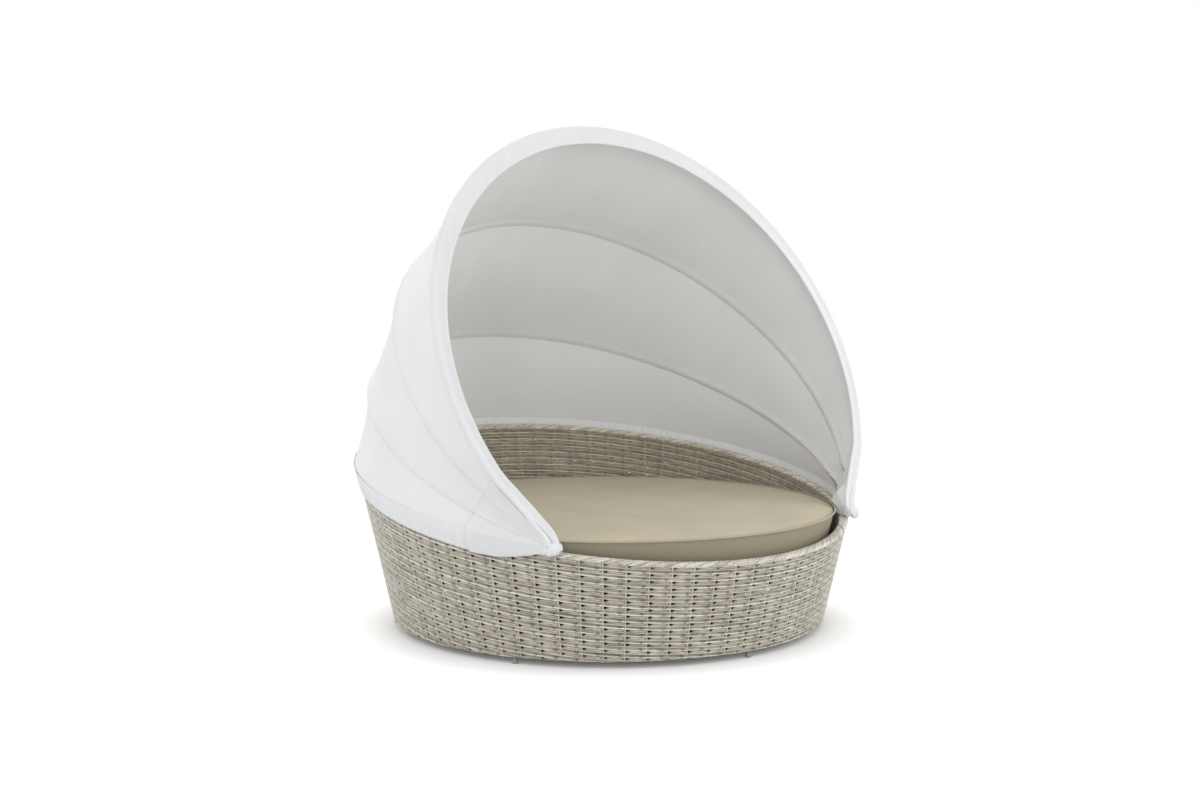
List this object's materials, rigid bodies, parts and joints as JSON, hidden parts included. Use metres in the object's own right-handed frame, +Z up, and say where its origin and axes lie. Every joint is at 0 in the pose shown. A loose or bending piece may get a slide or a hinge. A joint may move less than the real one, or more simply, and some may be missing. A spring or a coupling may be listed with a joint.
{
  "type": "outdoor daybed with canopy",
  "caption": "Round woven outdoor daybed with a thick round cushion and a fabric canopy on hinged bows that folds back behind the seat.",
  "frame": {"origin": "on the floor, on the axis of the round base", "axes": "+Z up, -Y towards the open front of the canopy, X along the canopy's pivot axis"},
  "size_m": [1.8308, 1.8161, 1.8187],
  "materials": {
    "weave_outer": "satin",
    "weave_inner": "satin",
    "frame": "satin",
    "slats": "satin",
    "plastic": "matte",
    "cushion": "matte",
    "bows": "satin",
    "bolts": "satin",
    "washers": "satin",
    "canvas": "matte"
  },
  "bodies": {
    "base": {"woven_outer_skin": "weave_outer", "woven_rim_border": "weave_outer", "woven_inner_skin": "weave_inner", "frame_rim_tube": "frame", "frame_bottom_ring": "frame", "frame_deck_ring": "frame", "frame_upright_1": "frame", "frame_upright_2": "frame", "frame_upright_3": "frame", "frame_upright_4": "frame", "frame_upright_5": "frame", "frame_upright_6": "frame", "deck_beam_left": "frame", "deck_beam_centre": "frame", "deck_beam_right": "frame", "centre_leg": "frame", "deck_slat_1": "slats", "deck_slat_2": "slats", "deck_slat_3": "slats", "deck_slat_4": "slats", "deck_slat_5": "slats", "deck_slat_6": "slats", "deck_slat_7": "slats", "deck_slat_8": "slats", "deck_slat_9": "slats", "centre_foot": "plastic", "floor_glide_1": "plastic", "floor_glide_2": "plastic", "floor_glide_3": "plastic", "floor_glide_4": "plastic", "floor_glide_5": "plastic", "floor_glide_6": "plastic", "seat_cushion": "cushion", "hinge_bracket_left": "bows", "hinge_bracket_right": "bows", "pivot_bolt_left": "bolts", "pivot_cap_nut_left": "bolts", "pivot_bolt_right": "bolts", "pivot_cap_nut_right": "bolts", "friction_washer_left_1": "washers", "friction_washer_left_2": "washers", "friction_washer_left_3": "washers", "friction_washer_left_4": "washers", "friction_washer_right_1": "washers", "friction_washer_right_2": "washers", "friction_washer_right_3": "washers", "friction_washer_right_4": "washers", "canopy_back_panel": "canvas", "canopy_hem_band": "canvas"},
    "back_bow": {"canopy_bow_back": "bows", "canopy_mid_panel": "canvas"},
    "mid_bow": {"canopy_bow_mid": "bows", "canopy_front_panel": "canvas", "canopy_corner_patch_left": "canvas", "canopy_corner_patch_right": "canvas"},
    "front_bow": {"canopy_bow_front": "bows", "canopy_front_lip": "canvas"}
  },
  "joints": [
    {"name": "back_fold", "type": "hinge", "parent": "base", "child": "back_bow", "pos_m": [0, -0.593, 0.404], "axis": [-1, 0, 0], "range_deg": [0, 11.7], "deforming": ["canopy_back_panel"]},
    {"name": "mid_fold", "type": "hinge", "parent": "back_bow", "child": "mid_bow", "pos_m": [0, -0.593, 0.404], "axis": [-1, 0, 0], "range_deg": [0, 14.6], "deforming": ["canopy_mid_panel"]},
    {"name": "front_fold", "type": "hinge", "parent": "mid_bow", "child": "front_bow", "pos_m": [0, -0.593, 0.404], "axis": [-1, 0, 0], "range_deg": [0, 14.6], "deforming": ["canopy_front_panel", "canopy_corner_patch_left", "canopy_corner_patch_right"]}
  ],
  "couplings": [
    {"joint": "mid_fold", "follows": "front_fold", "ratio": 1},
    {"joint": "back_fold", "follows": "front_fold", "ratio": 0.8}
  ]
}
